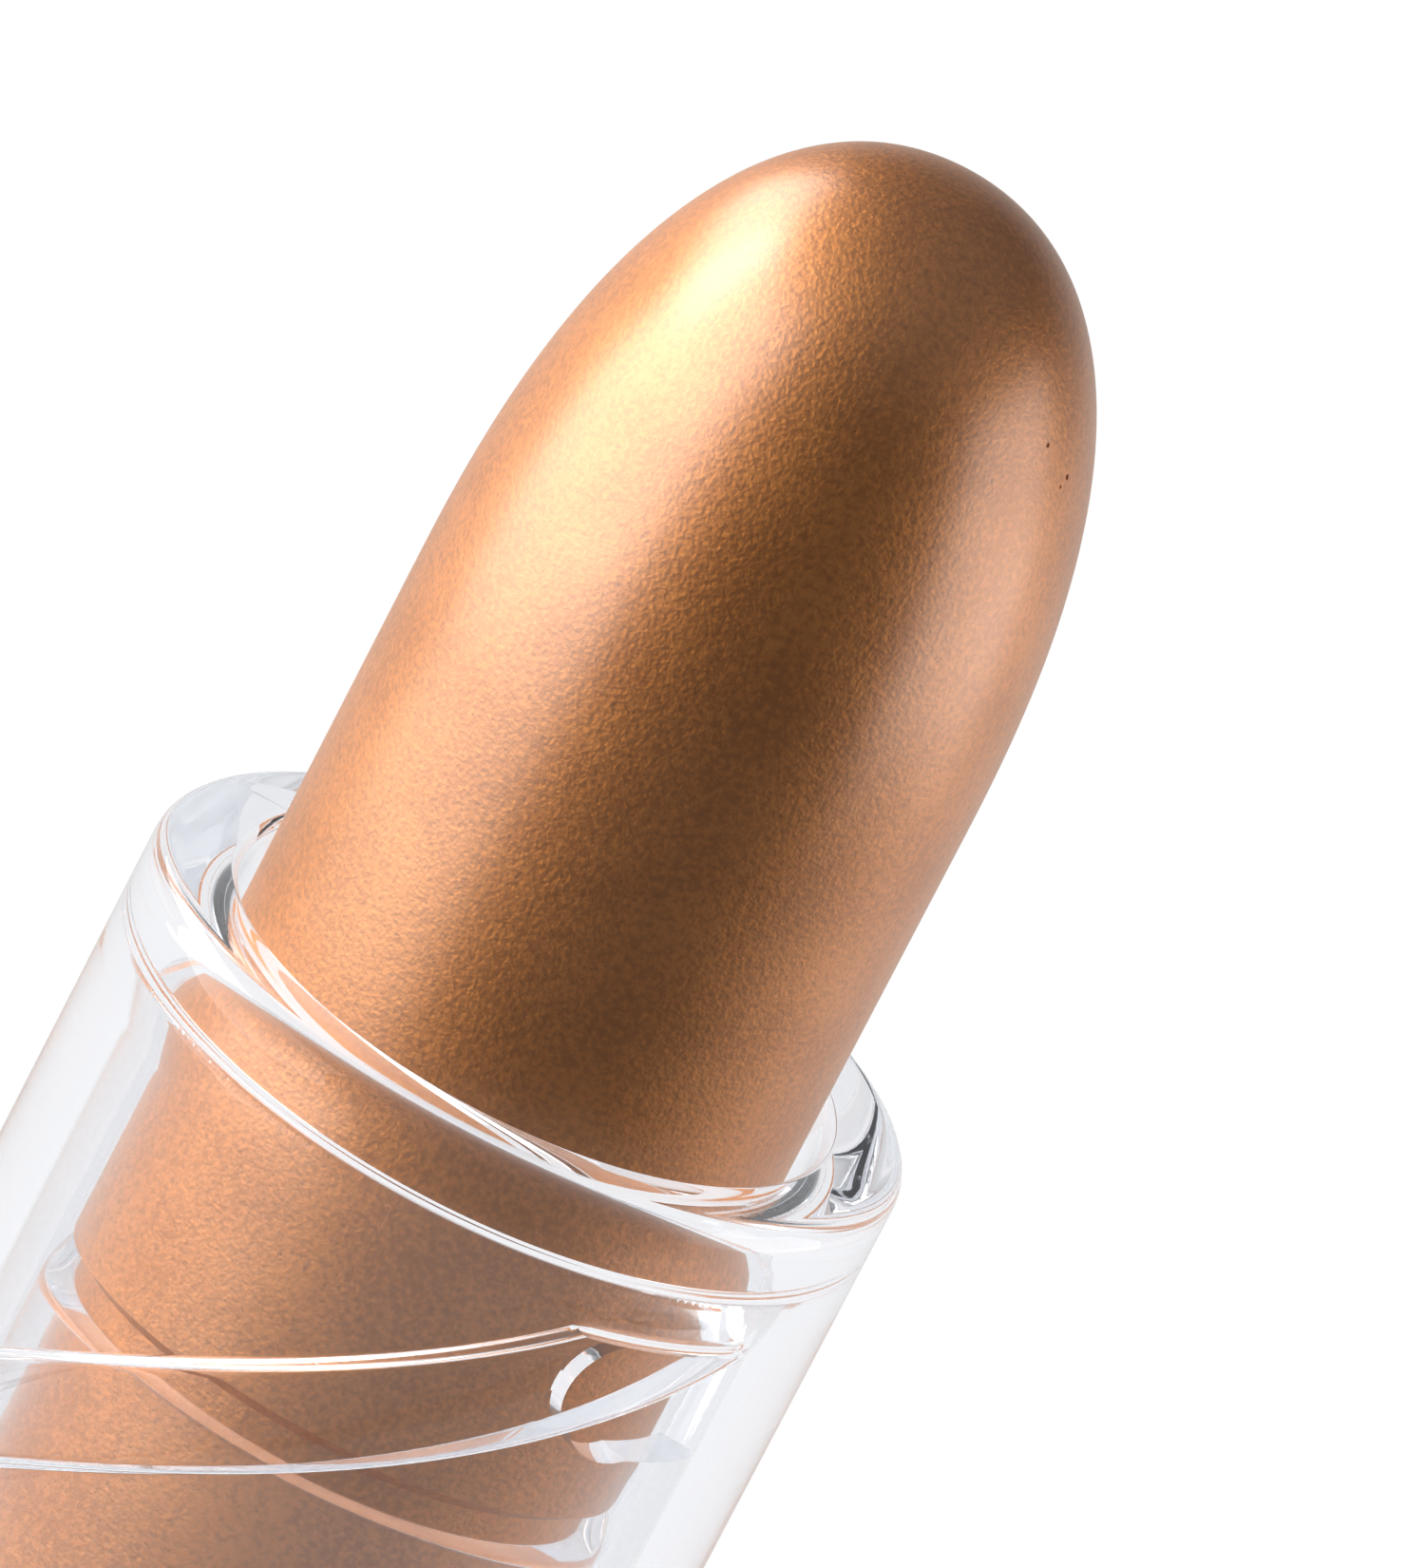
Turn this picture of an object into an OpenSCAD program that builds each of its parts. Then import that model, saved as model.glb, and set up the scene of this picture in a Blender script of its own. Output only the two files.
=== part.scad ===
// Twist-up lipstick case: a clear cam sleeve turns on a slotted guide tube and lifts a cup with a bullet.
// Millimetres, +Z up, origin at the middle of the foot. Drawn with the bullet part way out.

/* [Bullet] */
// Diameter of the bullet
bullet_d = 12.1; // [10:0.1:14]
// Height of the rounded tip
tip_h = 12.2; // [6:0.1:14]
// Fullness of the tip's sides, where 2 is an ellipse
tip_side = 2.4; // [1.8:0.1:3]
// Bluntness of the tip's end, where 2 is an ellipse
tip_end = 2.3; // [1.8:0.1:3]
// Length of the straight shank below the tip
shank_h = 15.2; // [12:0.1:20]
// How far the tip stands out of the mouth as drawn
tip_out = 19.3; // [16:0.1:22]
// How far the tip goes below the mouth when wound right down
tip_hidden = 1.7; // [0.5:0.1:3]
// Chamfer on the lower edge of the shank
shank_chamfer = 0.15; // [0.05:0.05:0.4]

/* [Cup] */
// Play between the cup and the guide tube, on the radius
cup_gap = 0.1; // [0.05:0.01:0.2]
// Wall of the cup
cup_wall = 0.6; // [0.4:0.05:0.9]
// Height of the cup
cup_h = 9.6; // [8.5:0.1:11]
// Thickness of the cup's floor
cup_floor = 0.9; // [0.6:0.1:1.5]
// Bare stem between the shank's lower edge and the rim of the cup
stem_h = 0.65; // [0.3:0.05:1.5]
// Diameter of the pour hole in the cup's floor
vent_d = 1.6; // [0.8:0.1:3]
// Diameter of the two lugs
lug_d = 2; // [1.6:0.1:2.2]
// Height of the rim of the cup above the middle of the lugs
lug_drop = 6.8; // [5.5:0.1:7.2]
// Play between the tip of a lug and the floor of its groove
lug_end_gap = 0.1; // [0.05:0.01:0.2]

/* [Guide tube] */
// Play between the bullet and the guide tube, on the radius
bullet_gap = 0.3; // [0.2:0.05:0.5]
// Wall of the guide tube
guide_wall = 0.6; // [0.5:0.05:0.8]
// Direction of the first slot, counted from +X
slot_angle = -12; // [-30:1:10]
// Play between a lug and each side of its slot
slot_gap = 0.06; // [0.03:0.01:0.1]
// Spare length of the slot below the lowest lug
slot_spare = 0.4; // [0.2:0.1:1]
// Spare length of the slot above the lock notch
slot_over = 0.2; // [0.1:0.05:0.4]
// Depth of the middle of the lock notch below the mouth
notch_drop = 4.75; // [4.4:0.05:5.5]
// Height of the lock notch
notch_h = 2.3; // [2.2:0.05:2.4]
// Diameter of the lock notch's round end, which holds the lug
notch_end_d = 2.5; // [2.45:0.05:2.8]
// Angle from the slot to the middle of the round end
notch_sweep = 32; // [20:1:45]
// Thickness of the foot flange
flange_h = 1.5; // [1:0.1:2.5]

/* [Cam sleeve] */
// Play between the guide tube and the sleeve, on the radius
sleeve_gap = 0.05; // [0.03:0.01:0.1]
// Depth of the cam grooves
cam_depth = 0.8; // [0.6:0.05:1]
// Wall left outside the cam grooves
cam_wall = 0.42; // [0.35:0.01:0.8]
// Rise of the cam grooves in one turn
cam_lead = 30.5; // [26:0.5:36]
// Width of a cam groove along the axis
cam_groove_w = 2.62; // [2.55:0.01:3]
// Depth of the cam grooves' flat upper ends below the mouth
cam_end_drop = 3.1; // [2.6:0.1:3.4]
// Length of the sleeve
sleeve_len = 41.5; // [40:0.1:46]
// Play between the bullet and the mouth, on the radius
mouth_gap = 0.35; // [0.25:0.05:0.6]
// Height of the lip that closes over the guide tube
lip_h = 1.95; // [1.6:0.05:2.2]
// Play between the lip and the guide tube's upper end
lip_gap = 0.05; // [0.03:0.01:0.1]
// Radius of the rim's outer edge
rim_round = 0.5; // [0.2:0.05:0.7]
// Chamfer on the mouth's edge
mouth_chamfer = 0.2; // [0.1:0.05:0.3]
// Height of the snap bead's middle above the sleeve's lower end
snap_rise = 1.4; // [1:0.1:3]
// How far the snap bead stands out
snap_out = 0.3; // [0.2:0.05:0.4]
// Half the height of the snap bead
snap_half = 0.5; // [0.4:0.1:0.7]
// How far the cap's click bead stands out
click_out = 0.15; // [0.1:0.05:0.3]
// Height of the click bead's middle above the base
click_rise = 3; // [2:0.1:6]
// Half the height of the click bead
click_half = 0.6; // [0.4:0.1:1]

/* [Brake ring] */
// Thickness of the brake ring
brake_h = 0.9; // [0.6:0.1:1.5]
// Play between the brake ring and the sleeve's lower end
brake_gap = 0.05; // [0.03:0.01:0.1]
// Width of the brake ring's band
brake_w = 1.1; // [0.8:0.05:1.2]

/* [Base] */
// Height of the base
base_h = 24; // [20:0.5:28]
// Wall of the outer shell
shell_wall = 1; // [0.8:0.1:2]
// Floor of the outer shell
shell_floor = 2; // [1.5:0.1:3]
// Radius of the shell's lower edge
foot_round = 1.2; // [0.6:0.1:1.8]
// Play between the turning sleeve and the liner, on the radius
turn_gap = 0.1; // [0.06:0.01:0.2]
// Wall of the liner
liner_wall = 0.7; // [0.6:0.05:1.2]
// Floor of the liner
liner_floor = 1.2; // [0.8:0.1:2]
// Thickness of the liner's collar on top of the shell
collar_h = 1.2; // [0.8:0.1:2]
// Radius of the collar's edges
collar_round = 0.35; // [0.1:0.05:0.4]
// Number of keys that stop the guide tube turning
key_count = 4; // [2:1:6]
// Width of a key
key_w = 1.6; // [1:0.1:2.5]
// Depth of a key
key_depth = 0.8; // [0.4:0.1:1]
// Play round pieces that are pressed together
fit_gap = 0.02; // [0.01:0.01:0.05]

/* [Shade label] */
// Depth of the recess in the foot
recess_h = 0.4; // [0.3:0.05:0.8]
// Width of the flat ring that the case stands on
foot_ring_w = 1.3; // [0.8:0.1:2.5]
// Thickness of the label
label_h = 0.2; // [0.1:0.05:0.25]
// Play round the label
label_gap = 0.2; // [0.1:0.05:0.5]

/* [Hidden] */

$fn = 96;
CUT = 0.5;
ARC_STEPS = 6;
TIP_STEPS = 24;
GROOVE_STEP = 8;
CLEAR = [0.86, 0.89, 0.93, 0.35];

// Radii, from the bullet outwards
bullet_r = bullet_d / 2;
mouth_r = bullet_r + mouth_gap;
guide_ri = bullet_r + bullet_gap;
guide_ro = guide_ri + guide_wall;
cup_ro = guide_ri - cup_gap;
cup_ri = cup_ro - cup_wall;
stem_r = cup_ri - fit_gap;
sleeve_ri = guide_ro + sleeve_gap;
cam_r = sleeve_ri + cam_depth;
sleeve_ro = cam_r + cam_wall;
lug_end_r = cam_r - lug_end_gap;
liner_ri = sleeve_ro + turn_gap;
liner_ro = liner_ri + liner_wall;
shell_ri = liner_ro + fit_gap;
shell_ro = shell_ri + shell_wall;
flange_r = liner_ri - fit_gap;
brake_ri = guide_ro + fit_gap;
recess_r = shell_ro - foot_round - foot_ring_w;

// Heights, from the foot up
liner_z = shell_floor;
flange_z = liner_z + liner_floor;
brake_z = flange_z + flange_h;
sleeve_z = brake_z + brake_h + brake_gap;
rim_z = sleeve_z + sleeve_len;
guide_top_z = rim_z - lip_h - lip_gap;
snap_z = sleeve_z + snap_rise;
collar_z = base_h - collar_h;
click_z = base_h + click_rise;
notch_z = rim_z - notch_drop;

// Where the bullet and the cup stand as drawn
tip_z = rim_z + tip_out;
shank_top_z = tip_z - tip_h;
shank_z = shank_top_z - shank_h;
cup_rim_z = shank_z - stem_h;
cup_z = cup_rim_z - cup_h;
lug_z = cup_rim_z - lug_drop;
lug_low_z = lug_z - tip_out - tip_hidden;
slot_low_z = lug_low_z - lug_d / 2 - slot_spare;

// The grooves rise anticlockwise, and both lugs lie in them as drawn
slot_w = lug_d + 2 * slot_gap;
cam_z = sleeve_z - CUT;
cam_h = rim_z - cam_end_drop - cam_z;
cam_turn = 360 * cam_h / cam_lead;
cam_start = slot_angle + 360 * (cam_z - lug_z) / cam_lead;
cam_sector = 360 * cam_groove_w / cam_lead;

function arc(x, y, r, a0, a1) =
    [for (i = [0:ARC_STEPS]) let (a = a0 + (a1 - a0) * i / ARC_STEPS) [x + r * cos(a), y + r * sin(a)]];

// Solid of revolution with its outline in [radius, height] points
module turned(points) {
    rotate_extrude() polygon(points);
}

// Ring between two radii
module ring(ri, ro, z, h) {
    translate([0, 0, z]) difference() {
        cylinder(r = ro, h = h);
        translate([0, 0, -CUT]) cylinder(r = ri, h = h + 2 * CUT);
    }
}

// Low ring-shaped bead with a pointed section
module bead(r, out, half, z) {
    turned([[r - CUT, z - half], [r, z - half], [r + out, z], [r, z + half], [r - CUT, z + half]]);
}

// Round bar that points outwards from the axis
module spoke(d, r0, r1, angle, z) {
    rotate([0, 0, angle]) translate([r0, 0, z]) rotate([0, 90, 0]) cylinder(d = d, h = r1 - r0);
}

module base_shell() {
    color(CLEAR) difference() {
        turned(concat(
            [[0, 0]],
            arc(shell_ro - foot_round, foot_round, foot_round, -90, 0),
            [[shell_ro, collar_z], [0, collar_z]]
        ));
        translate([0, 0, shell_floor]) cylinder(r = shell_ri, h = base_h);
        translate([0, 0, -CUT]) cylinder(r = recess_r, h = recess_h + CUT);
    }
}

module shade_label() {
    color("white") translate([0, 0, recess_h - label_h]) cylinder(r = recess_r - label_gap, h = label_h);
}

module base_liner() {
    color(CLEAR) difference() {
        union() {
            translate([0, 0, liner_z]) cylinder(r = liner_ro, h = collar_z - liner_z);
            turned(concat(
                [[0, collar_z], [shell_ro, collar_z]],
                arc(shell_ro - collar_round, base_h - collar_round, collar_round, 0, 90),
                [[0, base_h]]
            ));
        }
        difference() {
            translate([0, 0, flange_z]) cylinder(r = liner_ri, h = base_h);
            key_ring(key_w, key_depth);
        }
        bead(liner_ri, snap_out, snap_half, snap_z);
    }
}

// Keys of the liner, which the foot flange is notched for
module key_ring(w, depth) {
    for (i = [0:key_count - 1])
        rotate([0, 0, 360 * (i + 0.5) / key_count])
            translate([liner_ri - depth, -w / 2, flange_z])
                cube([depth + liner_wall / 2, w, flange_h]);
}

// Upright slot with a lock notch that leads off its upper end
module guide_slot(angle) {
    slot_top_z = notch_z + notch_h / 2 + slot_over;
    rotate([0, 0, angle]) translate([guide_ri - CUT, -slot_w / 2, slot_low_z])
        cube([guide_wall + 2 * CUT, slot_w, slot_top_z - slot_low_z]);
    rotate([0, 0, angle - notch_sweep]) rotate_extrude(angle = notch_sweep)
        translate([guide_ri - CUT, notch_z - notch_h / 2]) square([guide_wall + 2 * CUT, notch_h]);
    spoke(notch_end_d, guide_ri - CUT, guide_ro + CUT, angle - notch_sweep, notch_z);
}

module guide_tube() {
    color(CLEAR) difference() {
        union() {
            ring(guide_ri, guide_ro, flange_z, guide_top_z - flange_z);
            difference() {
                ring(guide_ri, flange_r, flange_z, flange_h);
                key_ring(key_w + 2 * fit_gap, key_depth + fit_gap);
            }
        }
        for (side = [0, 180]) guide_slot(slot_angle + side);
    }
}

module brake_ring() {
    color("dimgray") ring(brake_ri, brake_ri + brake_w, brake_z, brake_h);
}

// One cam groove: a sector that turns as it rises
module cam_groove(angle) {
    half = cam_sector / 2;
    sector = concat(
        arc(0, 0, cam_r, -half, half),
        [for (a = [half, -half]) (sleeve_ri - CUT) * [cos(a), sin(a)]]
    );
    rotate([0, 0, cam_start + angle]) translate([0, 0, cam_z])
        linear_extrude(
            height = cam_h,
            twist = -cam_turn,
            slices = ceil(cam_turn / GROOVE_STEP),
            segments = len(sector)
        ) polygon(sector);
}

module cam_sleeve() {
    color(CLEAR) difference() {
        union() {
            turned(concat(
                [[mouth_r, sleeve_z], [sleeve_ro, sleeve_z]],
                arc(sleeve_ro - rim_round, rim_z - rim_round, rim_round, 0, 90),
                [[mouth_r + mouth_chamfer, rim_z], [mouth_r, rim_z - mouth_chamfer]]
            ));
            bead(sleeve_ro, snap_out, snap_half, snap_z);
            bead(sleeve_ro, click_out, click_half, click_z);
        }
        translate([0, 0, sleeve_z - CUT]) cylinder(r = sleeve_ri, h = sleeve_len - lip_h + CUT);
        for (side = [0, 180]) cam_groove(side);
    }
}

module cup() {
    color(CLEAR) difference() {
        union() {
            translate([0, 0, cup_z]) cylinder(r = cup_ro, h = cup_h);
            for (side = [0, 180]) spoke(lug_d, cup_ri, lug_end_r, slot_angle + side, lug_z);
        }
        translate([0, 0, cup_z + cup_floor]) cylinder(r = cup_ri, h = cup_h);
        translate([0, 0, cup_z - CUT]) cylinder(d = vent_d, h = cup_floor + 2 * CUT);
    }
}

module bullet() {
    color([0.56, 0.36, 0.2]) turned(concat(
        [[0, cup_z + cup_floor], [stem_r, cup_z + cup_floor], [stem_r, shank_z]],
        [[bullet_r - shank_chamfer, shank_z], [bullet_r, shank_z + shank_chamfer]],
        [for (i = [0:TIP_STEPS]) let (a = 90 * i / TIP_STEPS)
            [bullet_r * pow(cos(a), 2 / tip_end), shank_top_z + tip_h * pow(sin(a), 2 / tip_side)]]
    ));
}

base_shell();
shade_label();
base_liner();
guide_tube();
brake_ring();
cam_sleeve();
cup();
bullet();
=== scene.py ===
import math

import bmesh
import bpy
from mathutils import Matrix, Vector


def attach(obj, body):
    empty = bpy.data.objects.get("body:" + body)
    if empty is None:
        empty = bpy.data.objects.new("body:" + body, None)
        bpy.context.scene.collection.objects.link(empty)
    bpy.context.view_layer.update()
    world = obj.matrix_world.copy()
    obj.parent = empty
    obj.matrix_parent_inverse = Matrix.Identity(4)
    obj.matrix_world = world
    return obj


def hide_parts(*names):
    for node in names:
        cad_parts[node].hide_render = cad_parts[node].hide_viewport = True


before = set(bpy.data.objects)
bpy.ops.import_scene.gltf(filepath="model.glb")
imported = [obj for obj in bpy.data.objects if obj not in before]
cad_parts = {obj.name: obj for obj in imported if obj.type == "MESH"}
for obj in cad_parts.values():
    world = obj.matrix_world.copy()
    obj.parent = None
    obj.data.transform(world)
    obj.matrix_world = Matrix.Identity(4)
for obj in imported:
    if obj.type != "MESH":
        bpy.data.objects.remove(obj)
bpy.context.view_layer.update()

# Base shell
# The outer cup of the base, moulded in thick clear plastic and polished.
# A shallow recess in its foot takes the label, and the liner is pressed into it from above.
MM = 0.001
TURN_STEPS = 240
SEAT = 0.02
TOUCH, MERGE = 1e-3, 1e-4
SHELL_R, SHELL_BORE, SHELL_FLOOR, SHELL_TOP = 10.04, 9.04, 2.0, 22.8
RECESS_R, RECESS_H = 7.54, 0.4
FOOT_ROUND, EDGE_ROUND, FLOOR_FILLET = 1.2, 0.15, 0.2
SHELL_TINT, SHELL_HAZE = (0.975, 0.985, 1.0, 1.0), 0.01
PLASTIC_IOR, SOFT_MIRROR = 1.57, (0.4, 0.4, 0.4, 1.0)
INNER_BOUNCES, LEAST_BENT = 3, 0.07


class Shade:
    """A socket of a material's nodes. Arithmetic on it adds Math nodes."""

    def __init__(self, tree, socket=None):
        self.tree, self.socket = tree, socket

    def node(self, kind, settings=None, sockets=None, out=0):
        """Adds a node, sets it up, feeds its sockets and returns one of its outputs."""
        made = self.tree.nodes.new(kind)
        for name, value in (settings or {}).items():
            setattr(made, name, value)
        for name, value in (sockets or {}).items():
            if isinstance(value, Shade):
                self.tree.links.new(value.socket, made.inputs[name])
            else:
                made.inputs[name].default_value = value
        return Shade(self.tree, made.outputs[out] if made.outputs else None)

    def maths(self, operation, *values):
        """A Math node on values or numbers."""
        return self.node("ShaderNodeMath", {"operation": operation}, dict(enumerate(values)))

    def __add__(self, other):
        return self.maths("ADD", self, other)

    def __rsub__(self, other):
        return self.maths("SUBTRACT", other, self)

    def __mul__(self, other):
        return self.maths("MULTIPLY", self, other)

    __radd__, __rmul__ = __add__, __mul__

    def between(self, low, high):
        """Goes smoothly from 0 at low to 1 at high."""
        ends = {"Value": self, "From Min": low, "From Max": high}
        return self.node("ShaderNodeMapRange", {"interpolation_type": "SMOOTHSTEP"}, ends)

    def blend(self, low, high):
        """Goes from one colour to another with this value."""
        return self.node("ShaderNodeMix", {"data_type": "RGBA"}, {0: self, 6: low, 7: high}, out=2)

    def noise(self, place, scale, detail, **more):
        """Cloudy noise at a place."""
        sockets = {"Vector": place, "Scale": scale, "Detail": detail, **more}
        return self.node("ShaderNodeTexNoise", sockets=sockets)

    def relief(self, strength, distance, height):
        """A bump for a shader's normal, its distance in metres."""
        sockets = {"Strength": strength, "Distance": distance, "Height": height}
        return self.node("ShaderNodeBump", sockets=sockets)

    def mixed(self, share, first, second):
        """Two shaders mixed by the share of the second."""
        return self.node("ShaderNodeMixShader", sockets={0: share, 1: first, 2: second})

    def ray(self, fact):
        """A fact about the ray of light that meets the surface."""
        return self.node("ShaderNodeLightPath", out=fact)

    def in_plastic(self):
        """1 for a ray inside a clear wall, which has passed an odd number of surfaces."""
        return self.maths("MODULO", self.ray("Transmission Depth"), 2.0)

    def show(self, shader):
        """Makes a shader the material's surface."""
        self.node("ShaderNodeOutputMaterial", sockets={"Surface": shader})


def new_finish(name):
    """An empty material and the place to add its nodes."""
    material = bpy.data.materials.new(name)
    material.use_nodes = True
    material.node_tree.nodes.clear()
    return material, Shade(material.node_tree)


def clear_plastic(name, tint, haze):
    """Clear moulded plastic with slight sink ripples, polishing haze and fine rub marks."""
    material, s = new_finish(name)
    place = s.node("ShaderNodeTexCoord", out="Object")
    ripple = s.noise(place, 260.0, 0.0)
    cloud = s.noise(place, 900.0, 1.0)
    along = s.node("ShaderNodeMapping", sockets={"Vector": place, "Scale": (9000.0, 9000.0, 260.0)})
    rubs = s.noise(along, 1.0, 1.0).between(0.66, 0.8)
    pale = tuple(1 - 0.4 * (1 - c) for c in tint[:3]) + (1.0,)
    surface = s.node("ShaderNodeBsdfPrincipled", sockets={
        "Base Color": cloud.between(0.3, 0.7).blend(tint, pale),
        "Roughness": haze + haze * cloud + 0.05 * rubs,
        "IOR": PLASTIC_IOR,
        "Specular Tint": SOFT_MIRROR,
        "Transmission Weight": 1.0,
        "Normal": s.relief(0.3, 0.000006, ripple),
    })
    # Lamps, and what the bullet mirrors, reach straight through a wall. A ray that bounces inside a
    # wall is bent as usual, and after a few bounces it is let out, so that no edge goes black.
    open_way = s.node("ShaderNodeBsdfTransparent", sockets={"Color": pale})
    early = s.maths("LESS_THAN", s.ray("Glossy Depth"), INNER_BOUNCES + 0.5)
    bent = s.maths("MAXIMUM", s.in_plastic() * early, LEAST_BENT)
    bounced = s.mixed(bent, open_way, surface)
    for fact, way in (("Is Reflection Ray", bounced), ("Is Shadow Ray", open_way)):
        surface = s.mixed(s.ray(fact), surface, way)
    s.show(surface)
    return material


def turned(outline, steps=TURN_STEPS):
    """Spins an outline of (radius, height) points in millimetres into a closed form."""
    bm = bmesh.new()
    corners = [bm.verts.new((r, 0, z)) for r, z in outline]
    sides = [bm.edges.new(pair) for pair in zip(corners, corners[1:])]
    if outline[0][0] > 0:
        sides.append(bm.edges.new((corners[-1], corners[0])))
    bmesh.ops.spin(
        bm, geom=corners + sides, cent=(0, 0, 0), axis=(0, 0, 1), angle=2 * math.pi,
        steps=steps, use_merge=True,
    )
    bmesh.ops.remove_doubles(bm, verts=bm.verts, dist=MERGE)
    bmesh.ops.recalc_face_normals(bm, faces=bm.faces)
    return bm


def bevelled(bm, geom, size, segments, affect="EDGES"):
    """Rounds edges, or the corners of a flat outline."""
    bmesh.ops.bevel(
        bm, geom=geom, offset=size, offset_type="OFFSET", segments=segments, profile=0.5,
        affect=affect, material=-1,
    )


def rounded(bm, radius, *rings, segments=3):
    """Rounds the ring edges at these (radius, height) places."""
    def on_ring(vert):
        return any(
            abs(vert.co.xy.length - r) < TOUCH and abs(vert.co.z - z) < TOUCH for r, z in rings
        )

    def is_level(edge):
        return abs(edge.verts[0].co.z - edge.verts[1].co.z) < MERGE

    edges = [e for e in bm.edges if all(map(on_ring, e.verts)) and is_level(e)]
    bevelled(bm, edges, radius, segments)


def piece(name, bm, node, body, material, crease=32):
    """Makes a form in millimetres the piece that stands for a node, riding on its body."""
    bmesh.ops.dissolve_degenerate(bm, dist=MERGE, edges=bm.edges)
    bmesh.ops.scale(bm, vec=(MM, MM, MM), verts=bm.verts)
    mesh = bpy.data.meshes.new(name)
    bm.to_mesh(mesh)
    bm.free()
    mesh.shade_smooth()
    mesh.set_sharp_from_angle(angle=math.radians(crease))
    mesh.materials.append(material)
    made = bpy.data.objects.new(name, mesh)
    bpy.context.scene.collection.objects.link(made)
    even = made.modifiers.new("even_normals", "WEIGHTED_NORMAL")
    even.keep_sharp = True
    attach(made, body)
    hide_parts(node)


shell = turned([
    (0, RECESS_H), (RECESS_R, RECESS_H), (RECESS_R, 0), (SHELL_R, 0),
    (SHELL_R, SHELL_TOP - SEAT), (SHELL_BORE, SHELL_TOP - SEAT),
    (SHELL_BORE, SHELL_FLOOR), (0, SHELL_FLOOR),
])
rounded(shell, FOOT_ROUND, (SHELL_R, 0), segments=8)
rounded(shell, EDGE_ROUND, (RECESS_R, 0), (RECESS_R, RECESS_H), (SHELL_R, SHELL_TOP - SEAT))
rounded(shell, FLOOR_FILLET, (SHELL_BORE, SHELL_FLOOR))
piece(
    "outer_shell", shell, "base_shell", "base",
    clear_plastic("polished_shell", SHELL_TINT, SHELL_HAZE),
)

# Shade label
# A blank disc of white film, die cut and stuck into the recess of the foot.
# Its surface has the faint fibre and unevenness of printed label stock.
LABEL_R, LABEL_LOW, LABEL_ROUND = 7.34, 0.2, 0.05
LABEL_HIGH = RECESS_H - SEAT
LABEL_SHADE, LABEL_WHITE = (0.84, 0.84, 0.82, 1.0), (0.9, 0.9, 0.89, 1.0)
label = turned([(0, LABEL_LOW), (LABEL_R, LABEL_LOW), (LABEL_R, LABEL_HIGH), (0, LABEL_HIGH)])
rounded(label, LABEL_ROUND, (LABEL_R, LABEL_LOW), (LABEL_R, LABEL_HIGH), segments=2)
film, s = new_finish("label_paper_film")
place = s.node("ShaderNodeTexCoord", out="Object")
fibre = s.noise(place, 2600.0, 5.0)
patch = s.noise(place, 240.0, 2.0)
stock = 0.5 * fibre + 0.5 * patch
s.show(s.node("ShaderNodeBsdfPrincipled", sockets={
    "Base Color": stock.between(0.3, 0.7).blend(LABEL_SHADE, LABEL_WHITE),
    "Roughness": 0.42 + 0.2 * fibre,
    "Normal": s.relief(0.4, 0.00001, fibre),
}))
piece("label_disc", label, "shade_label", "base", film)

# Base liner
# A thin clear moulding pressed into the shell. Its collar closes the shell's upper edge, a groove near
# its floor holds the sleeve's snap bead, and four keys on the floor stop the guide tube turning.
LINER_R, LINER_BORE, LINER_FLOOR, COLLAR_TOP = 9.02, 8.32, 3.2, 24.0
SNAP_Z, SNAP_HALF, SNAP_OUT = 7.05, 0.5, 0.3
KEY_W, KEY_DEPTH, KEY_H = 1.6, 0.8, 1.5
KEY_ANGLES = (45, 135, 225, 315)
KEY_ROOT, KEY_SUNK, KEY_CLEAR = 0.35, 0.5, 0.4
COLLAR_ROUND = 0.35
LINER_TINT, LINER_HAZE = (0.98, 0.988, 1.0, 1.0), 0.012


def swivelled(bm, angle):
    """Turns a form about the object's axis, by an angle in radians."""
    bmesh.ops.rotate(bm, cent=(0, 0, 0), matrix=Matrix.Rotation(angle, 3, "Z"), verts=bm.verts)
    return bm


def block(x, y, z, angle):
    """A box between two bounds on each axis, turned about the object's axis."""
    bm = bmesh.new()
    bmesh.ops.create_cube(bm, size=1.0)
    for axis, (low, high) in enumerate((x, y, z)):
        for vert in bm.verts:
            vert.co[axis] = (low + high) / 2 + (high - low) * vert.co[axis]
    return swivelled(bm, math.radians(angle))


def combined(bm, tools, operation):
    """Cuts forms out of another, or joins them to it."""
    made = []
    for form in (bm, *tools):
        mesh = bpy.data.meshes.new("form")
        form.to_mesh(mesh)
        form.free()
        made.append(bpy.data.objects.new("form", mesh))
        bpy.context.scene.collection.objects.link(made[-1])
    for tool in made[1:]:
        step = made[0].modifiers.new("step", "BOOLEAN")
        step.operation, step.solver, step.object = operation, "EXACT", tool
    result = bmesh.new()
    result.from_mesh(made[0].evaluated_get(bpy.context.evaluated_depsgraph_get()).to_mesh())
    for form in made:
        bpy.data.meshes.remove(form.data)
    return result


liner = turned([
    (0, SHELL_FLOOR + SEAT), (LINER_R, SHELL_FLOOR + SEAT), (LINER_R, SHELL_TOP),
    (SHELL_R, SHELL_TOP), (SHELL_R, COLLAR_TOP), (LINER_BORE, COLLAR_TOP),
    (LINER_BORE, SNAP_Z + SNAP_HALF), (LINER_BORE + SNAP_OUT, SNAP_Z), (LINER_BORE, SNAP_Z - SNAP_HALF),
    (LINER_BORE, LINER_FLOOR + KEY_H + KEY_CLEAR), (LINER_BORE, LINER_FLOOR), (0, LINER_FLOOR),
])
rounded(liner, COLLAR_ROUND, (SHELL_R, COLLAR_TOP), (LINER_BORE, COLLAR_TOP), segments=5)
rounded(liner, EDGE_ROUND, (SHELL_R, SHELL_TOP), (LINER_R, SHELL_FLOOR + SEAT))
keys = [
    block(
        (LINER_BORE - KEY_DEPTH, LINER_BORE + KEY_ROOT), (-KEY_W / 2, KEY_W / 2),
        (LINER_FLOOR - KEY_SUNK, LINER_FLOOR + KEY_H), angle,
    )
    for angle in KEY_ANGLES
]
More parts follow.
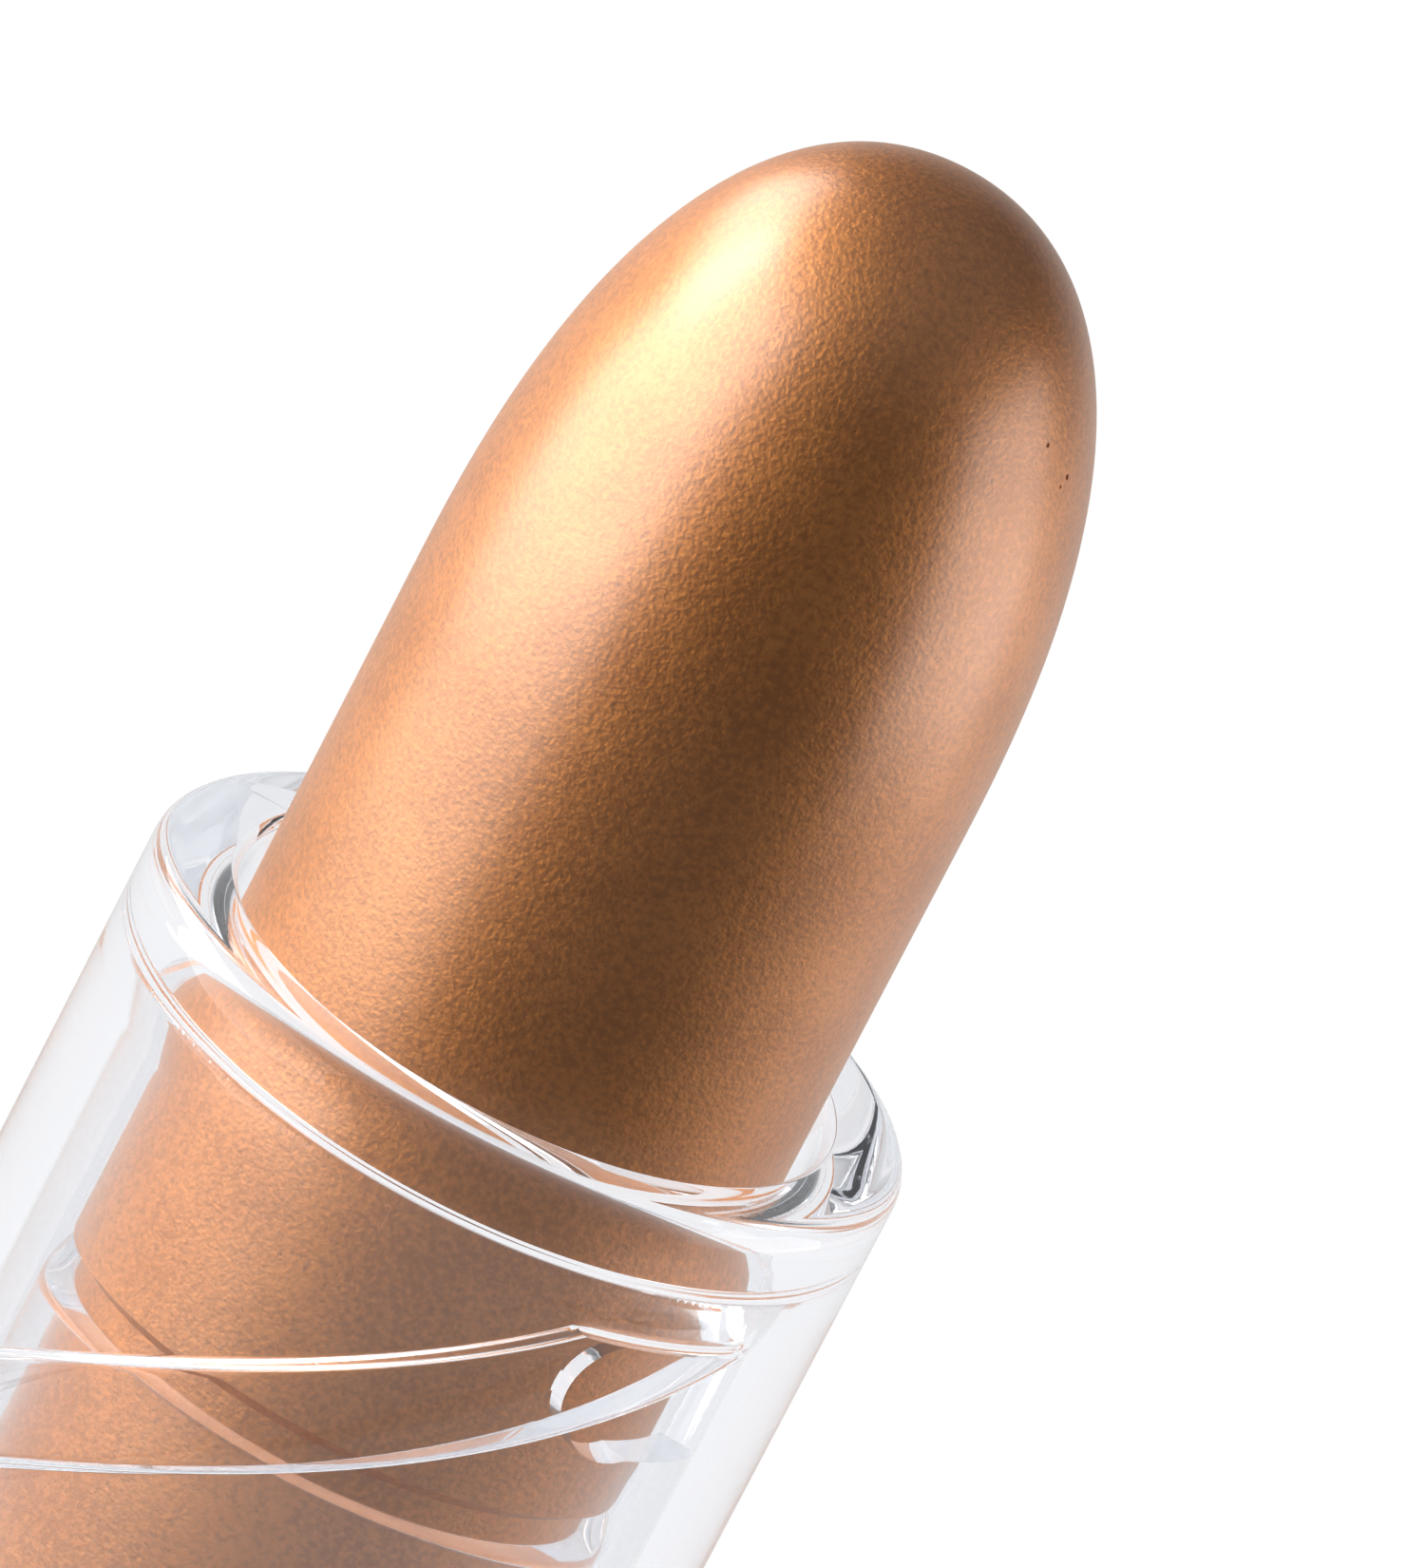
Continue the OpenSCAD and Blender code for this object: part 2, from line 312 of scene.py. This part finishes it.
piece(
    "moulded_liner", combined(liner, keys, "UNION"), "base_liner", "base",
    clear_plastic("polished_liner", LINER_TINT, LINER_HAZE),
)

# Guide tube
# A thin clear tube that stands on the liner's floor. Two upright slots keep the cup's lugs from turning,
# and each slot leads into a lock notch at its top. The flange at its foot is notched over the keys.
# The two halves of its mould left a fine line down each side, with a small burr at the top of one.
GUIDE_BORE, GUIDE_R, GUIDE_TOP, FLANGE_R = 6.35, 6.95, 45.15, 8.3
GUIDE_RINGS = (20, 32, 40)
FIT, OVERCUT, SLOT_OVERCUT = 0.02, 1, 0.5
SLOT_ANGLE, SLOT_W, SLOT_LOW, SLOT_HIGH = -12, 2.12, 9.2, 43.75
NOTCH_Z, NOTCH_H, NOTCH_SWEEP, NOTCH_END = 42.4, 2.3, 32, 2.5
SIDES = (SLOT_ANGLE, SLOT_ANGLE + 180)
PARTING_ANGLE, PARTING_W, PARTING_OUT, PARTING_ROOT = -95, 0.05, 0.02, 0.2
PARTING_LOW, PARTING_HIGH = LINER_FLOOR + KEY_H + 1, GUIDE_TOP - 0.4
BURR_W, BURR_OUT, BURR_LOW, BURR_HIGH = 0.12, 0.04, GUIDE_TOP - 1.0, GUIDE_TOP - 0.35
GUIDE_ROUND = 0.25
INNER_TINT, GUIDE_HAZE = (0.985, 0.99, 1.0, 1.0), 0.01


def spoke(diameter, r0, r1, z, angle):
    """A round bar that points outwards from the object's axis."""
    bm = bmesh.new()
    bmesh.ops.create_cone(
        bm, cap_ends=True, segments=48, radius1=diameter / 2, radius2=diameter / 2, depth=r1 - r0,
        matrix=Matrix.Translation(((r0 + r1) / 2, 0, z)) @ Matrix.Rotation(math.pi / 2, 4, "Y"),
    )
    return swivelled(bm, math.radians(angle))


def sector(r0, r1, z0, z1, start, sweep):
    """A part of a ring, from one angle to another."""
    bm = bmesh.new()
    corners = [bm.verts.new((r, 0, z)) for r, z in ((r0, z0), (r1, z0), (r1, z1), (r0, z1))]
    face = bm.faces.new(corners)
    swivelled(bm, math.radians(start))
    bmesh.ops.spin(
        bm, geom=[face, *face.edges, *face.verts], cent=(0, 0, 0), axis=(0, 0, 1),
        angle=math.radians(sweep), steps=24,
    )
    bmesh.ops.recalc_face_normals(bm, faces=bm.faces)
    return bm


def ridge(width, out, low, high, angle):
    """A thin upright ridge on the outside of the guide tube."""
    return block((GUIDE_R - PARTING_ROOT, GUIDE_R + out), (-width / 2, width / 2), (low, high), angle)


guide = turned([
    (GUIDE_BORE, LINER_FLOOR + SEAT), (FLANGE_R, LINER_FLOOR + SEAT),
    (FLANGE_R, LINER_FLOOR + KEY_H), (GUIDE_R, LINER_FLOOR + KEY_H),
    *((GUIDE_R, z) for z in GUIDE_RINGS), (GUIDE_R, GUIDE_TOP),
    (GUIDE_BORE, GUIDE_TOP), *((GUIDE_BORE, z) for z in reversed(GUIDE_RINGS)),
])
rounded(guide, GUIDE_ROUND, (GUIDE_R, GUIDE_TOP), (GUIDE_BORE, GUIDE_TOP), segments=5)
cuts = [
    block(
        (LINER_BORE - KEY_DEPTH - FIT, FLANGE_R + OVERCUT), (-KEY_W / 2 - FIT, KEY_W / 2 + FIT),
        (LINER_FLOOR - OVERCUT, LINER_FLOOR + KEY_H + OVERCUT), angle,
    )
    for angle in KEY_ANGLES
]
slot_r = (GUIDE_BORE - SLOT_OVERCUT, GUIDE_R + SLOT_OVERCUT)
notch_z = (NOTCH_Z - NOTCH_H / 2, NOTCH_Z + NOTCH_H / 2)
for angle in SIDES:
    cuts.append(block(slot_r, (-SLOT_W / 2, SLOT_W / 2), (SLOT_LOW, SLOT_HIGH), angle))
    cuts.append(sector(*slot_r, *notch_z, angle - NOTCH_SWEEP, NOTCH_SWEEP))
    cuts.append(spoke(NOTCH_END, *slot_r, NOTCH_Z, angle - NOTCH_SWEEP))
parting = [
    ridge(PARTING_W, PARTING_OUT, PARTING_LOW, PARTING_HIGH, PARTING_ANGLE),
    ridge(PARTING_W, PARTING_OUT, PARTING_LOW, PARTING_HIGH, PARTING_ANGLE + 180),
    ridge(BURR_W, BURR_OUT, BURR_LOW, BURR_HIGH, PARTING_ANGLE),
]
guide = combined(combined(guide, cuts, "DIFFERENCE"), parting, "UNION")
piece(
    "slotted_guide", guide, "guide_tube", "base",
    clear_plastic("clear_guide_moulding", INNER_TINT, GUIDE_HAZE),
)

# Brake ring
# A soft silicone washer on the guide tube's flange. It drags on the sleeve's lower end, so that the
# bullet stays where it was wound to.
BRAKE_BORE, BRAKE_R, BRAKE_LOW, BRAKE_HIGH = 6.97, 8.07, 4.7 + SEAT, 5.6
BRAKE_ROUND = 0.2
SILICONE_SHADE, SILICONE_PALE = (0.74, 0.76, 0.78, 1.0), (0.86, 0.87, 0.88, 1.0)
brake_outline = [
    (BRAKE_BORE, BRAKE_LOW), (BRAKE_R, BRAKE_LOW), (BRAKE_R, BRAKE_HIGH), (BRAKE_BORE, BRAKE_HIGH),
]
brake = turned(brake_outline)
rounded(brake, BRAKE_ROUND, *brake_outline)
silicone, s = new_finish("milky_silicone")
place = s.node("ShaderNodeTexCoord", out="Object")
milk = s.noise(place, 700.0, 3.0)
bloom = s.noise(place, 6000.0, 4.0)
s.show(s.node("ShaderNodeBsdfPrincipled", sockets={
    "Base Color": milk.between(0.3, 0.7).blend(SILICONE_SHADE, SILICONE_PALE),
    "Roughness": 0.42 + 0.25 * bloom,
    "IOR": 1.41,
    "Transmission Weight": 0.25,
    "Normal": s.relief(0.3, 0.00001, bloom),
}))
piece("silicone_washer", brake, "brake_ring", "base", silicone)

# Cam sleeve
# The clear tube that is held and turned. Two steep grooves wind up its bore and drive the cup's lugs, and
# a lip closes over the guide tube. It is moulded round a core that is screwed out downwards, so the
# grooves run out through its lower end. The lower bead snaps into the liner and the upper one holds a cap.
BORE_R, GROOVE_R, SLEEVE_R, MOUTH_R = 7.0, 7.8, 8.22, 6.4
SLEEVE_LOW, GROOVE_TOP, LIP_LOW, RIM = 5.65, 44.05, 45.2, 47.15
MOUTH_CHAMFER, MOUTH_ROUND, RIM_ROUND, RIM_BAND, LIP_FILLET = 0.2, 0.05, 0.5, 1.0, 0.3
GROOVE_LEAD, GROOVE_W, LUG_Z = 30.5, 2.62, 31.6
GROOVE_EDGE, GROOVE_FILLET, GROOVE_SEGMENTS = 0.18, 0.28, 4
CLICK_Z, CLICK_HALF, CLICK_OUT = 27.0, 0.6, 0.15
LAND_STEPS, FLOOR_STEPS, SWEEP_STEP = 88, 18, 2.5
SLEEVE_HAZE = 0.008

groove_angle = 2 * math.pi * GROOVE_W / GROOVE_LEAD
land_angle = math.pi - groove_angle
start_turn = math.radians(SLOT_ANGLE) + 2 * math.pi * (SLEEVE_LOW - LUG_Z) / GROOVE_LEAD
full_turn = 2 * math.pi * (GROOVE_TOP - SLEEVE_LOW) / GROOVE_LEAD
sweep_steps = round(math.degrees(full_turn) / SWEEP_STEP)


def swung(bm, vert, angle, steps):
    """Draws an arc of edges from a vertex about the object's axis and returns its end."""
    drawn = bmesh.ops.spin(
        bm, geom=[vert], cent=(0, 0, 0), axis=(0, 0, 1), angle=angle, steps=steps
    )["geom_last"]
    return next(v for v in drawn if isinstance(v, bmesh.types.BMVert))


def to_radius(bm, vert, radius):
    """Draws an edge from a vertex to another radius and returns its end."""
    end = next(v for v in bmesh.ops.extrude_vert_indiv(bm, verts=[vert])["verts"])
    end.co.xy *= radius / end.co.xy.length
    return end


def next_ring(bm, edges, r0, r1, rise):
    """Extrudes a ring of edges to another radius and height and returns the new ring."""
    made = bmesh.ops.extrude_edge_only(bm, edges=edges)["geom"]
    verts = [v for v in made if isinstance(v, bmesh.types.BMVert)]
    bmesh.ops.scale(bm, vec=(r1 / r0, r1 / r0, 1), verts=verts)
    bmesh.ops.translate(bm, vec=(0, 0, rise), verts=verts)
    kept = set(verts)
    return [e for e in made if isinstance(e, bmesh.types.BMEdge) and kept.issuperset(e.verts)]


def on_radius(vert, radius):
    """True for a point at this distance from the object's axis."""
    return abs(vert.co.xy.length - radius) < TOUCH


def on_bore(vert):
    """True for a point on the sleeve's bore, between the grooves."""
    return on_radius(vert, BORE_R)


def at_groove_top(vert):
    """True for a point at the height where the grooves end."""
    return abs(vert.co.z - GROOVE_TOP) < TOUCH


def turn_between(first, second):
    """The angle from one vertex on to another about the object's axis."""
    start, end = (math.atan2(v.co.y, v.co.x) for v in (first, second))
    return (end - start) % (2 * math.pi)


# The bore's section with its two grooves is drawn flat, its corners are rounded, and it is screwed upwards.
sleeve = bmesh.new()
tip = sleeve.verts.new((BORE_R * math.cos(groove_angle / 2), BORE_R * math.sin(groove_angle / 2), 0))
for half_turn in range(2):
    tip = swung(sleeve, tip, land_angle, LAND_STEPS)
    tip = to_radius(sleeve, tip, GROOVE_R)
    tip = swung(sleeve, tip, groove_angle, FLOOR_STEPS)
    tip = to_radius(sleeve, tip, BORE_R)
bmesh.ops.remove_doubles(sleeve, verts=sleeve.verts, dist=MERGE)
bmesh.ops.edgeloop_fill(sleeve, edges=sleeve.edges)
walls = [e for e in sleeve.edges if any(map(on_bore, e.verts)) and not all(map(on_bore, e.verts))]
wall_ends = {v for e in walls for v in e.verts}
for radius, size in ((BORE_R, GROOVE_EDGE), (GROOVE_R, GROOVE_FILLET)):
    corners = [v for v in wall_ends if v.is_valid and on_radius(v, radius)]
    bevelled(sleeve, corners, size, GROOVE_SEGMENTS, affect="VERTICES")
bmesh.ops.delete(sleeve, geom=list(sleeve.faces), context="FACES_ONLY")
swivelled(sleeve, start_turn)
bmesh.ops.translate(sleeve, vec=(0, 0, SLEEVE_LOW), verts=sleeve.verts)
lower_loop = list(sleeve.edges)
bmesh.ops.spin(
    sleeve, geom=list(sleeve.verts) + lower_loop, cent=(0, 0, 0), axis=(0, 0, 1), angle=full_turn,
    dvec=(0, 0, (GROOVE_TOP - SLEEVE_LOW) / sweep_steps), steps=sweep_steps,
)

# An arc closes each groove's open side at its top, and a flat face shuts it.
land_tips = [
    v for v in sleeve.verts
    if at_groove_top(v) and on_bore(v) and not all(on_bore(e.other_vert(v)) for e in v.link_edges)
]
for vert in land_tips:
    gap = min(turn_between(vert, v) for v in land_tips if v is not vert)
    if gap < groove_angle * 1.5:
        swung(sleeve, vert, gap, FLOOR_STEPS)
top_points = [v for v in sleeve.verts if at_groove_top(v)]
bmesh.ops.remove_doubles(sleeve, verts=top_points, dist=MERGE)
top_edges = [e for e in sleeve.edges if all(map(at_groove_top, e.verts))]
bore_ring = [e for e in top_edges if all(map(on_bore, e.verts))]
stop_outline = [e for e in top_edges if e not in bore_ring or not e.link_faces]
bmesh.ops.edgeloop_fill(sleeve, edges=stop_outline)

# From there the wall goes on through the lip and the rim and down the outside.
outline = [
    (BORE_R, GROOVE_TOP), (BORE_R, LIP_LOW), (MOUTH_R, LIP_LOW), (MOUTH_R, RIM - MOUTH_CHAMFER),
    (MOUTH_R + MOUTH_CHAMFER, RIM), (SLEEVE_R, RIM), (SLEEVE_R, RIM - RIM_BAND),
    (SLEEVE_R, CLICK_Z + CLICK_HALF), (SLEEVE_R + CLICK_OUT, CLICK_Z), (SLEEVE_R, CLICK_Z - CLICK_HALF),
    (SLEEVE_R, SNAP_Z + SNAP_HALF), (SLEEVE_R + SNAP_OUT, SNAP_Z), (SLEEVE_R, SNAP_Z - SNAP_HALF),
    (SLEEVE_R, SLEEVE_LOW),
]
ring = bore_ring
for (r0, z0), (r1, z1) in zip(outline, outline[1:]):
    ring = next_ring(sleeve, ring, r0, r1, z1 - z0)
bmesh.ops.triangle_fill(sleeve, use_beauty=True, edges=ring + lower_loop, normal=(0, 0, -1))
bmesh.ops.recalc_face_normals(sleeve, faces=sleeve.faces)
stop_edges = [e for e in bore_ring if any(abs(f.normal.z) > 0.9 for f in e.link_faces)]
bevelled(sleeve, stop_edges, GROOVE_EDGE, GROOVE_SEGMENTS)
rounded(sleeve, RIM_ROUND, (SLEEVE_R, RIM), segments=6)
rounded(sleeve, LIP_FILLET, (BORE_R, LIP_LOW), segments=5)
rounded(
    sleeve, MOUTH_ROUND, (MOUTH_R, RIM - MOUTH_CHAMFER), (MOUTH_R + MOUTH_CHAMFER, RIM),
    (MOUTH_R, LIP_LOW), segments=2,
)
piece(
    "cam_tube", sleeve, "cam_sleeve", "sleeve",
    clear_plastic("polished_sleeve", INNER_TINT, SLEEVE_HAZE),
)

# Cup
# A small clear cup that slides in the guide tube. Two lugs reach through the slots into the sleeve's
# grooves, and the bullet was cast into it through the hole in its floor.
CUP_R, CUP_BORE, CUP_LOW, CUP_FLOOR, CUP_RIM = 6.25, 5.65, 28.8, 29.7, 38.4
CUP_RING_LOW, CUP_RING_HIGH = 30, 33.2
CUP_ROUND, CUP_LIP_ROUND = 0.12, 0.08
VENT_R, LUG_D, LUG_ROOT, LUG_END, LUG_ROUND = 0.8, 2.0, CUP_BORE + 0.2, 7.7, 0.18
CUP_HAZE = 0.02
cup = turned([
    (VENT_R, CUP_LOW), (CUP_R, CUP_LOW), (CUP_R, CUP_RING_LOW), (CUP_R, CUP_RING_HIGH),
    (CUP_R, CUP_RIM), (CUP_BORE, CUP_RIM), (CUP_BORE, CUP_RING_HIGH), (CUP_BORE, CUP_FLOOR),
    (VENT_R, CUP_FLOOR),
])
rounded(cup, CUP_ROUND, (CUP_R, CUP_RIM), (CUP_R, CUP_LOW), (CUP_BORE, CUP_FLOOR))
rounded(cup, CUP_LIP_ROUND, (CUP_BORE, CUP_RIM), (VENT_R, CUP_LOW))
lugs = []
for angle in SIDES:
    lug = spoke(LUG_D, LUG_ROOT, LUG_END, LUG_Z, angle)
    end_edges = [e for e in lug.edges if all(v.co.xy.length > LUG_END - 0.2 for v in e.verts)]
    bevelled(lug, end_edges, LUG_ROUND, 3)
    lugs.append(lug)
piece(
    "lug_cup", combined(cup, lugs, "UNION"), "cup", "cup",
    clear_plastic("clear_cup_moulding", INNER_TINT, CUP_HAZE),
)

# Bullet
# The lipstick itself: wax full of fine bronze pearl, cast in a polished mould with its stem in the cup.
# The mould left it satin, with a few pinholes near the tip.
BULLET_R, STEM_R, SHANK_LOW, SHANK_TOP, TIP = 6.05, 5.63, 39.05, 54.25, 66.45
SHANK_CHAMFER, SHANK_RING = 0.3, 48
TIP_SIDE, TIP_END, TIP_STEPS = 2.4, 2.3, 60
PINHOLES = ((-19.5, 62.65, 0.06), (-30.0, 63.3, 0.05), (-22.4, 62.5, 0.04), (128.0, 61.4, 0.05))
BRONZE_DEEP, BRONZE_BRIGHT = (0.64, 0.215, 0.03, 1.0), (0.88, 0.325, 0.058, 1.0)


def on_tip(turn):
    """The tip's (radius, height) at an angle from 0, at its foot, to a quarter turn, at its end."""
    rise = math.sin(turn) ** (2 / TIP_SIDE)
    return BULLET_R * math.cos(turn) ** (2 / TIP_END), SHANK_TOP + (TIP - SHANK_TOP) * rise


bullet = turned([
    (0, CUP_FLOOR + SEAT), (STEM_R, CUP_FLOOR + SEAT), (STEM_R, SHANK_LOW),
    (BULLET_R - SHANK_CHAMFER, SHANK_LOW), (BULLET_R, SHANK_LOW + SHANK_CHAMFER),
    (BULLET_R, SHANK_RING), *(on_tip(math.pi / 2 * i / TIP_STEPS) for i in range(TIP_STEPS)), (0, TIP),
])
holes = []
for angle, hole_z, size in PINHOLES:
    turn = math.asin(((hole_z - SHANK_TOP) / (TIP - SHANK_TOP)) ** (TIP_SIDE / 2))
    hole = bmesh.new()
    bmesh.ops.create_icosphere(
        hole, subdivisions=3, radius=size, matrix=Matrix.Translation((on_tip(turn)[0], 0, hole_z)),
    )
    holes.append(swivelled(hole, math.radians(angle)))
bronze, s = new_finish("bronze_pearl_wax")
place = s.node("ShaderNodeTexCoord", out="Object")
pearl = s.noise(place, 7000.0, 3.0, Roughness=0.7)
sparkle = s.node("ShaderNodeTexVoronoi", sockets={"Vector": place, "Scale": 9000.0}, out="Distance")
swirl = s.noise(place, 420.0, 4.0)
grain = 0.7 * pearl + 0.3 * swirl
s.show(s.node("ShaderNodeBsdfPrincipled", sockets={
    "Base Color": grain.between(0.38, 0.62).blend(BRONZE_DEEP, BRONZE_BRIGHT),
    "Metallic": 0.92,
    "Roughness": 0.46 + 0.14 * pearl,
    "Coat Weight": 0.85 + 0.15 * swirl,
    "Coat Roughness": 0.34,
    "Coat IOR": 2.4,
    "Normal": s.relief(0.8, 0.000028, pearl + 0.4 * sparkle),
}))
piece(
    "cast_bullet", combined(bullet, holes, "DIFFERENCE"), "bullet", "cup", bronze,
)

# Floor
# A plain pale table top. The camera sees it as white, and so does satin metal behind the object.
# Seen through clear plastic it is a painted, slightly dimmer bluish white, a painted shade on the clear
# walls.
# It keeps the soft shadow under the foot.
FLOOR_R = 3.0
# CLEAR_VIEW is a painted shade: what is seen through clear plastic is this dimmer bluish white.
WHITE, CLEAR_VIEW = (1.0, 1.0, 1.0, 1.0), (0.93, 0.938, 0.965, 1.0)
TABLE_DARK, TABLE_LIGHT = (0.26, 0.26, 0.265, 1.0), (0.28, 0.28, 0.285, 1.0)
WHITE_SHARE, MIRROR_SHARE = 0.8, 0.65
floor_form = bmesh.new()
bmesh.ops.create_circle(floor_form, cap_ends=True, segments=96, radius=FLOOR_R)
floor_mesh = bpy.data.meshes.new("table_top")
floor_form.to_mesh(floor_mesh)
floor_form.free()
table_top = bpy.data.objects.new("table_top", floor_mesh)
bpy.context.scene.collection.objects.link(table_top)
pale_table, s = new_finish("pale_table")
place = s.node("ShaderNodeTexCoord", out="Object")
mottle = s.noise(place, 60.0, 3.0)
behind = s.node("ShaderNodeSeparateXYZ", sockets={0: place}, out="Y").between(-0.03, 0.09)
from_foot = s.node("ShaderNodeVectorMath", {"operation": "LENGTH"}, {0: place}, out="Value")
clear_ray = s.maths("MAXIMUM", s.ray("Is Transmission Ray"), s.in_plastic())
sight = s.maths("MAXIMUM", s.ray("Is Camera Ray"), clear_ray)
seen = s.maths("MAXIMUM", sight, MIRROR_SHARE * s.ray("Is Glossy Ray") * behind)
matt = s.node("ShaderNodeBsdfDiffuse", sockets={"Color": mottle.blend(TABLE_DARK, TABLE_LIGHT)})
# The white glow is painted a little dimmer within a few centimetres of the foot, a painted shade round the
# object.
white = s.node("ShaderNodeEmission", sockets={
    "Color": clear_ray.blend(WHITE, CLEAR_VIEW), "Strength": 1.15 + 0.1 * from_foot.between(0.02, 0.1),
})
s.show(s.mixed(WHITE_SHARE * seen, matt, white))
floor_mesh.materials.append(pale_table)

# Lamps
# Three soft boxes stand close round the bullet, as on a product table: a large one at the left, a lower
# strip of light behind it for the tip, and a smaller, weaker one at the right.


def soft_box(name, azimuth, distance, height, size, radiance):
    """A lamp that faces the object's axis from an azimuth counted from the camera to its right."""
    data = bpy.data.lights.new(name, "AREA")
    data.shape = "RECTANGLE"
    data.size, data.size_y = size
    data.energy = radiance * math.pi * size[0] * size[1]
    lamp = bpy.data.objects.new(name, data)
    a = math.radians(azimuth)
    lamp.location = (distance * math.sin(a), -distance * math.cos(a), height)
    lamp.rotation_mode = "QUATERNION"
    lamp.rotation_quaternion = Vector((-math.sin(a), math.cos(a), 0)).to_track_quat("-Z", "Y")
    lamp.visible_camera = False
    lamp.visible_transmission = False
    bpy.context.scene.collection.objects.link(lamp)


soft_box("left_soft_box", -72, 0.1, 0.074, (0.13, 0.125), 2.65)
soft_box("back_soft_box", -112, 0.1, 0.113, (0.11, 0.062), 3.3)
soft_box("right_soft_box", 90, 0.1, 0.07, (0.085, 0.085), 1.5)

# Studio
# A pale sweep behind the object and a dim room behind the camera. The camera sees only white, and light on
# its way through clear plastic sees a painted, slightly dimmer bluish white, a painted shade on the clear
# walls.
ROOM_DARK, ROOM_LIGHT = (0.0, 0.0, 0.0, 1.0), (0.97, 0.98, 1.0, 1.0)
ROOM_LEVEL, CEILING_LEVEL, SWEEP_LEVEL = 0.04, 0.13, 0.4
world = bpy.data.worlds.new("studio")
bpy.context.scene.world = world
world.use_nodes = True
world.node_tree.nodes.clear()
s = Shade(world.node_tree)
way = s.node("ShaderNodeTexCoord", out="Generated")
backward = s.node("ShaderNodeSeparateXYZ", sockets={0: way}, out="Y").between(0.2, 0.9)
upright = s.node("ShaderNodeSeparateXYZ", sockets={0: way}, out="Z")
sweep = SWEEP_LEVEL * backward * (1 - upright.between(0.1, 0.5))
brightness = ROOM_LEVEL + CEILING_LEVEL * upright.between(0.3, 0.85) + sweep
clear_ray = s.maths("MAXIMUM", s.ray("Is Transmission Ray"), s.in_plastic())
# Through clear plastic the world is the painted, dimmer bluish white of CLEAR_VIEW.
room = clear_ray.blend(brightness.blend(ROOM_DARK, ROOM_LIGHT), CLEAR_VIEW)
s.node("ShaderNodeOutputWorld", sockets={
    "Surface": s.node("ShaderNodeBackground", sockets={
        "Color": s.ray("Is Camera Ray").blend(room, WHITE), "Strength": 1.0,
    }),
})

# Camera
# A long lens above the mouth's plane, turned so that the case leans to the right.
# The middle of the sleeve's rim falls on the pixel where the photograph has it.
ELEVATION, ROLL, DISTANCE = math.radians(21.5), math.radians(27.5), 0.5
PIXELS_PER_MM, IMAGE_W, IMAGE_H = 53.2, 1500, 1650
RIM_PIXEL = (564, 1048)
SENSOR = 36.0
away = Vector((0, -math.cos(ELEVATION), math.sin(ELEVATION)))
across = Vector((1, 0, 0))
upward = Vector((0, math.sin(ELEVATION), math.cos(ELEVATION)))
right = math.cos(ROLL) * across + math.sin(ROLL) * upward
up = -math.sin(ROLL) * across + math.cos(ROLL) * upward
pixel = MM / PIXELS_PER_MM
target = Vector((0, 0, RIM * MM))
target += right * (IMAGE_W / 2 - RIM_PIXEL[0]) * pixel + up * (RIM_PIXEL[1] - IMAGE_H / 2) * pixel
lens = bpy.data.cameras.new("view")
lens.sensor_width = SENSOR
lens.lens = SENSOR * DISTANCE / (IMAGE_H * pixel)
lens.clip_start, lens.clip_end = 0.01, 20.0
camera = bpy.data.objects.new("view", lens)
camera.matrix_world = Matrix((
    (right.x, up.x, away.x, 0), (right.y, up.y, away.y, 0), (right.z, up.z, away.z, 0), (0, 0, 0, 1),
))
camera.location = target + away * DISTANCE
scene = bpy.context.scene
scene.collection.objects.link(camera)
scene.camera = camera
scene.view_settings.view_transform = "Standard"
scene.cycles.max_bounces = 18
scene.cycles.transmission_bounces = 16
scene.cycles.glossy_bounces = 6
scene.cycles.transparent_max_bounces = 32
